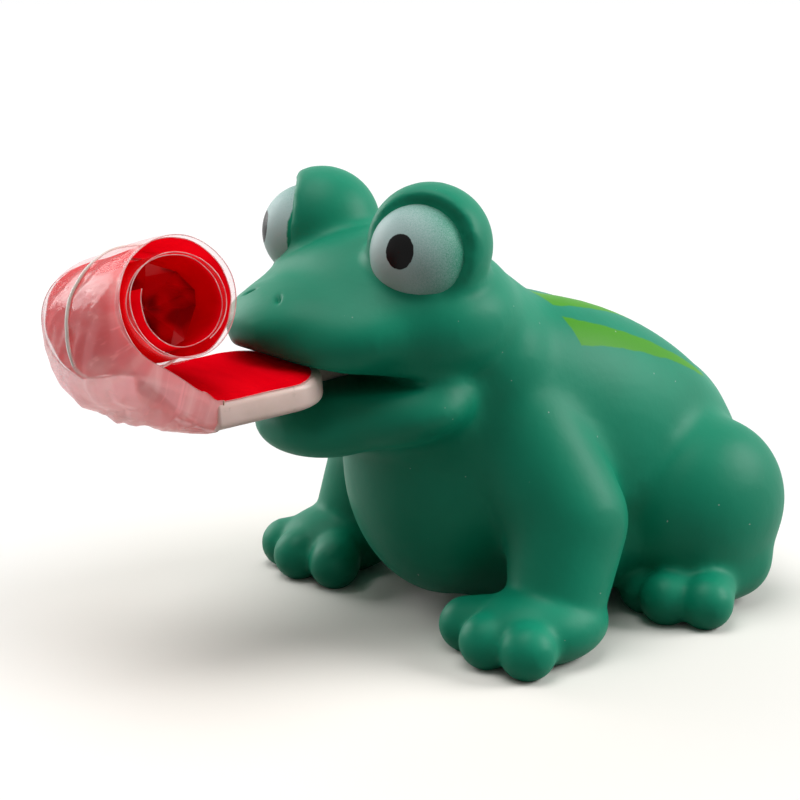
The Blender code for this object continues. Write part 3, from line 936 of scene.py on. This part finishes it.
def tongue(films, strip):
    """The rolled sleeve and its curl strip, in pieces cut at the hinges: the root and the inner end hang on
    their bodies, the pieces between are left in place.
    """
    *sleeve_films, folded = films
    stations = sleeve_stations()
    first_clear = next(i for i, station in enumerate(stations) if station.centre.y < CLEAR_BACK)
    red = sheet_grid(stations, red_place, RED_COLUMNS)
    clear = sheet_grid(stations, clear_place, CLEAR_COLUMNS)
    lines = strip_film(stations)
    half = LINK_ANGLE // 2
    cuts = [station_at(stations, LINK_ANGLE * link - half) for link in range(LINKS + 1)]
    cuts.append(len(stations) - 1)
    names = [f"{link + 1:02d}" for link in range(LINKS)]
    for piece, (start, end) in enumerate(zip([0] + cuts, cuts), start=-1):
        name = "root" if piece < 0 else "inner" if piece == LINKS else names[piece]
        sheets = Sheets()
        add_film(sheets, red, slice(start, end + 1), RED_SLOT, EDGE_SLOT)
        if piece < LINKS:
            add_film(sheets, clear, slice(max(start, first_clear), end + 1), CLEAR_SLOT, EDGE_SLOT)
        if piece < 0:
            add_glue(sheets, clear, first_clear)
        film = sheets.object(f"tongue_film_{name}", *sleeve_films)
        parts = [film]
        if piece >= 0:
            parts.append(strip_piece(f"curl_strip_{name}", lines[start:end + 1], strip))
        for made in parts:
            if piece < 0:
                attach(made, "frog")
            elif piece == LINKS:
                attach(made, f"tongue_{names[-1]}")
            else:
                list(bend(stations[start], stations[end]))
                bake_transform(made)
        if piece < 0:
            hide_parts("tongue_sleeve_base")
        elif piece < LINKS:
            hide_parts(f"tongue_sleeve_{names[piece]}")
            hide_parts(f"curl_wire_{names[piece]}")
    tip = tongue_tip(stations, folded)
    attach(tip, f"tongue_{names[-1]}")


def stripe_depth(paint, y, slant, corners):
    """How far inside a stripe's outline a point is."""
    corners = [Vector((row((0, corner_y, 0)).y, corner_slant * MM)) for corner_y, corner_slant in corners]
    depth = None
    for near, far in zip(corners, corners[1:] + corners[:1]):
        along = (far - near).normalized()
        inner = Vector((along.y, -along.x))
        reach = paint.math("MULTIPLY_ADD", y, inner.x, -inner.dot(near))
        reach = paint.math("MULTIPLY_ADD", slant, inner.y, reach)
        depth = reach if depth is None else paint.math("MINIMUM", depth, reach)
    return depth


def vinyl():
    """Soft green moulding: faint mottling, a fine matt grain, a few dust specks and the painted stripes."""
    paint = Paint("soft_green_vinyl", Roughness=0.48, Specular_IOR_Level=0.18)
    place = paint.place()
    mottle = paint.step(paint.noise(place, scale=55, detail=4), 0.3, 0.7)
    green = paint.mix(mottle, GREEN_DEEP, GREEN_LIGHT)
    x, y, z = paint.split(place)
    out = paint.math("MULTIPLY", paint.math("ABSOLUTE", x), SLANT[0])
    slant = paint.math("MULTIPLY_ADD", z, -SLANT[1], out)
    waver = paint.waver(place, scale=400, height=STRIPE_WAVER * MM)
    depth = paint.math("MAXIMUM", *(stripe_depth(paint, y, slant, corners) for corners in STRIPES))
    stripe = paint.step(paint.math("ADD", depth, waver), -STRIPE_EDGE * MM, STRIPE_EDGE * MM)
    coat = paint.mix(stripe, green, LIME)
    speck = paint.step(paint.noise(place, scale=1900, detail=0), 0.89, 0.91, end=DUST_SHARE)
    paint.colour(paint.mix(speck, coat, DUST))
    grain = paint.math("MULTIPLY_ADD", stripe, STRIPE_RISE, paint.noise(place, scale=900, detail=3))
    paint.bump(grain, distance=0.00005, strength=0.5)
    return paint.material


def eye_paint(side):
    """White sprayed on from the front, thin and speckled towards the back, with a black pupil."""
    paint = Paint("left_eye_paint" if side > 0 else "right_eye_paint", Specular_IOR_Level=0.12)
    place = paint.place()
    look = paint.vector("NORMALIZE", place)
    front = paint.vector("DOT_PRODUCT", look, (0, -1, 0))
    inner = paint.vector("DOT_PRODUCT", look, (-side, 0, 0))
    speckle = paint.waver(place, scale=7000, height=0.45, detail=1)
    white = paint.step(paint.math("ADD", front, speckle), -0.6, 0.95)
    ragged = paint.math("ADD", inner, paint.waver(place, scale=900, height=0.06))
    white = paint.math("MULTIPLY", white, paint.step(ragged, 0.45, 0.5, start=1, end=0))
    coat = paint.mix(white, GREEN_LIGHT, EYE_WHITE)
    pupil_look = Vector(LEFT_PUPIL_LOOK if side > 0 else RIGHT_PUPIL_LOOK).normalized()
    level = pupil_look.cross(Vector((0, 0, 1))).normalized()
    above = level.cross(pupil_look)
    wide = paint.math("DIVIDE", paint.vector("DOT_PRODUCT", place, level), PUPIL_SIZE[0] * MM)
    tall = paint.math("DIVIDE", paint.vector("DOT_PRODUCT", place, above), PUPIL_SIZE[1] * MM)
    off_centre = paint.math("ADD", paint.math("MULTIPLY", wide, wide), paint.math("MULTIPLY", tall, tall))
    off_centre = paint.math("MULTIPLY_ADD", paint.noise(place, scale=1300), PUPIL_RAGGED, off_centre)
    facing = paint.step(paint.vector("DOT_PRODUCT", look, pupil_look), 0.0, 0.1)
    pupil = paint.math("MULTIPLY", paint.step(off_centre, 1.06, 1.16, start=1, end=0), facing)
    paint.colour(paint.mix(pupil, coat, PUPIL))
    paint.feed(paint.shader.inputs["Roughness"], paint.step(pupil, 0, 1, start=0.45, end=0.35))
    paint.bump(paint.math("MULTIPLY_ADD", speckle, white, pupil), distance=0.00003, strength=0.4)
    return paint.material


def white_plastic():
    """Stiff white plastic that lets a little light in, tinted pink as a painted reflection of the red film,
    with patches of dirt and small scuffs.
    """
    paint = Paint(
        "white_plastic", Roughness=0.34,
        Subsurface_Weight=0.15, Subsurface_Radius=(0.003, 0.0015, 0.001), Subsurface_Scale=0.5,
    )
    place = paint.place()
    dirt = paint.step(paint.noise(place, scale=160, detail=5), 0.5, 0.72, end=0.25)
    scuff = paint.step(paint.noise(place, scale=700, detail=3), 0.62, 0.7, end=0.35)
    # The pink in the base colour is a painted reflection of the red film
    paint.colour(paint.mix(paint.math("MAXIMUM", dirt, scuff), WHITE_AND_RED_REFLECTION, GRIME))
    paint.bump(paint.noise(place, scale=500), distance=0.00004, strength=0.4)
    return paint.material


def film_creases(paint, coarse, fine):
    """Slanting creases over a film, from its own coordinates."""
    slant = {"Vector": paint.place("UV"), "Rotation": (0, 0, 0.5), "Scale": (1, 0.25, 1)}
    where = paint.node("ShaderNodeMapping", slant).outputs["Vector"]
    wide = paint.noise(where, coarse, detail=3)
    thin = paint.noise(where, fine)
    return wide, thin, paint.math("MULTIPLY_ADD", thin, 0.3, wide)


def red_film():
    """Creased film with painted shade in the crease hollows, that glows a little where light comes through
    it.
    """
    paint = Paint("red_film", Roughness=0.2, Specular_IOR_Level=0)
    wide, _, height = film_creases(paint, coarse=22, fine=90)
    # Darker red where the creases run low: painted shade in the hollows
    red = paint.mix(paint.step(wide, 0.3, 0.7), RED_CREASE_SHADE, RED)
    paint.colour(red)
    paint.bump(height, distance=0.0004, strength=0.35)
    paint.surface(paint.thin(red, share=0.35))
    return paint.material


def folded_film():
    """The red film where it is folded at its end, with painted shade: dark red patches stand in for folds
    that catch less light.
    """
    paint = Paint("folded_film", Roughness=0.2, Specular_IOR_Level=0.25)
    # Dark red patches: painted shade on the folds
    tint = paint.step(paint.noise(paint.place(), scale=230, detail=1), 0.4, 0.58)
    paint.colour(paint.mix(tint, RED_FOLD_SHADE, RED))
    return paint.material


def clear_film():
    """Milky in the slack bag, else nearly clear, with painted highlights: paler, more opaque streaks and
    glints along the crease ridges.
    """
    paint = Paint("clear_film", Roughness=0.16, Specular_IOR_Level=0.6, Coat_Weight=0.4, Coat_Roughness=0.05)
    wide, thin, height = film_creases(paint, coarse=30, fine=120)
    along = paint.split(paint.place("UV"))["X"]
    root = paint.step(along, 0.2, 0.3, start=ROOT_ALPHA - BAG_ALPHA, end=0)
    bag = paint.math("ADD", root, paint.step(along, 0.3, 0.42, start=BAG_ALPHA, end=CLEAR_ALPHA))
    # Streaks and glints on the crease ridges, with paler milk there: painted highlights
    streak_highlight = paint.step(wide, 0.45, 0.75, end=0.25)
    glint = paint.step(thin, 0.58, 0.7, end=0.14)
    milk_with_highlights = paint.mix(paint.step(wide, 0.4, 0.7), MILKY, MILKY_RIDGE_HIGHLIGHT)
    paint.colour(milk_with_highlights)
    paint.bump(height, distance=0.0006, strength=0.35)
    outer = paint.step(along, 0.6, 0.78, start=1, end=0.1)
    milk_and_highlights = paint.math("ADD", paint.math("ADD", streak_highlight, glint), bag)
    alpha = paint.math("MINIMUM", paint.math("MULTIPLY", milk_and_highlights, outer), 1.0)
    film = paint.node("ShaderNodeMixShader", {"Fac": alpha})
    paint.feed(film.inputs[1], paint.node("ShaderNodeBsdfTransparent").outputs["BSDF"])
    paint.feed(film.inputs[2], paint.thin(milk_with_highlights, share=0.5))
    paint.surface(film.outputs["Shader"])
    return paint.material


def film_edge():
    # Pale pink bead on each film edge: a painted highlight standing in for the glint along the edge
    paint = Paint("film_edge", Roughness=0.2, Coat_Weight=0.5, Alpha=EDGE_ALPHA)
    tint = paint.step(paint.noise(paint.place("UV"), scale=40), 0.35, 0.65)
    paint.colour(paint.mix(tint, EDGE_PINK, EDGE_GLINT_PALE))
    return paint.material


def dried_glue():
    paint = Paint("dried_glue", Roughness=0.4)
    tint = paint.step(paint.noise(paint.place(), scale=900), 0.4, 0.6)
    paint.colour(paint.mix(tint, GLUE_PALE, GLUE_BROWN))
    return paint.material


def curl_strip():
    paint = Paint("curl_strip", Roughness=0.38, Specular_IOR_Level=0.5)
    place = paint.place()
    tint = paint.step(paint.noise(place, scale=350, detail=3), 0.3, 0.7)
    paint.colour(paint.mix(tint, STRIP_DARK, STRIP_PALE))
    paint.bump(paint.noise(place, scale=1500), distance=0.00003, strength=0.5)
    return paint.material


def pale_floor():
    """A pale sheet that turns into the bright backdrop away from the toy."""
    paint = Paint("pale_floor", Roughness=0.75, Specular_IOR_Level=0.2, Emission_Color=(1, 1, 1))
    place = paint.place()
    tint = paint.step(paint.noise(place, scale=6), 0.2, 0.8)
    sheet = paint.mix(tint, FLOOR_COOL, FLOOR_WARM)
    distance = paint.math("SQRT", paint.vector("DOT_PRODUCT", place, place))
    seen = seen_rays(paint.tree)
    glow = paint.math("MULTIPLY", paint.step(distance, *FLOOR_GLOW), seen)
    sheet = paint.mix(seen, FLOOR_BOUNCE, sheet)
    paint.colour(paint.mix(glow, sheet, (0, 0, 0)))
    paint.feed(paint.shader.inputs["Emission Strength"], glow)
    return paint.material


def floor():
    bm = bmesh.new()
    bmesh.ops.create_circle(bm, cap_ends=True, radius=FLOOR_RADIUS, segments=96)
    obj = mesh_object("floor", bm, pale_floor())


def sky():
    """White all round as the camera sees it; as light it is dim near the horizon and brighter overhead."""
    world = bpy.data.worlds.new("studio")
    world.use_nodes = True
    bpy.context.scene.world = world
    nodes, links = world.node_tree.nodes, world.node_tree.links
    light = nodes["Background"]
    light.inputs["Color"].default_value = (*SKY_TINT, 1)
    rise = nodes.new("ShaderNodeSeparateXYZ")
    links.new(nodes.new("ShaderNodeTexCoord").outputs["Generated"], rise.inputs["Vector"])
    fade = nodes.new("ShaderNodeMapRange")
    fade.inputs["From Max"].default_value = SKY_FADE
    fade.inputs["To Min"].default_value = SKY_LOW
    fade.inputs["To Max"].default_value = SKY_HIGH
    links.new(rise.outputs["Z"], fade.inputs["Value"])
    links.new(fade.outputs["Result"], light.inputs["Strength"])
    seen = nodes.new("ShaderNodeBackground")
    seen.inputs["Color"].default_value = (1, 1, 1, 1)
    mixed = nodes.new("ShaderNodeMixShader")
    links.new(seen_rays(world.node_tree), mixed.inputs["Fac"])
    links.new(light.outputs["Background"], mixed.inputs[1])
    links.new(seen.outputs["Background"], mixed.inputs[2])
    links.new(mixed.outputs["Shader"], nodes["World Output"].inputs["Surface"])


def softbox(name, place, aim, size, power):
    light = bpy.data.lights.new(name, "AREA")
    light.shape = "DISK"
    light.size = size
    light.energy = power
    obj = bpy.data.objects.new(name, light)
    bpy.context.scene.collection.objects.link(obj)
    obj.location = place
    obj.rotation_euler = (Vector(aim) - Vector(place)).to_track_quat("-Z", "Y").to_euler()


def camera():
    turn = math.radians(CAMERA_AZIMUTH)
    rise = math.radians(CAMERA_ELEVATION)
    back = Vector((math.sin(turn) * math.cos(rise), -math.cos(turn) * math.cos(rise), math.sin(rise)))
    right = Vector((math.cos(turn), math.sin(turn), 0))
    up = back.cross(right)
    data = bpy.data.cameras.new("camera")
    data.sensor_width = CAMERA_SENSOR
    data.lens = CAMERA_LENS
    data.clip_start = CAMERA_CLIP
    obj = bpy.data.objects.new("camera", data)
    bpy.context.scene.collection.objects.link(obj)
    facing = Matrix((right, up, back)).transposed().to_4x4()
    obj.matrix_world = Matrix.Translation(row(CAMERA_PLACE)) @ facing
    bpy.context.scene.camera = obj


def dress():
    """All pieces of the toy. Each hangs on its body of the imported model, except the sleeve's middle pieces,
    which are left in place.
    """
    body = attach(skin(vinyl()), "frog")
    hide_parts("body_shell")
    for side in (1, -1):
        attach(eyeball(side, eye_paint(side)), "frog")
    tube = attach(mouthpiece(white_plastic()), "frog")
    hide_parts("mouthpiece")
    tongue((red_film(), clear_film(), film_edge(), dried_glue(), folded_film()), curl_strip())


dress()
floor()
sky()
for light in SOFTBOXES:
    softbox(*light)
camera()
bpy.context.scene.view_settings.view_transform = "Standard"
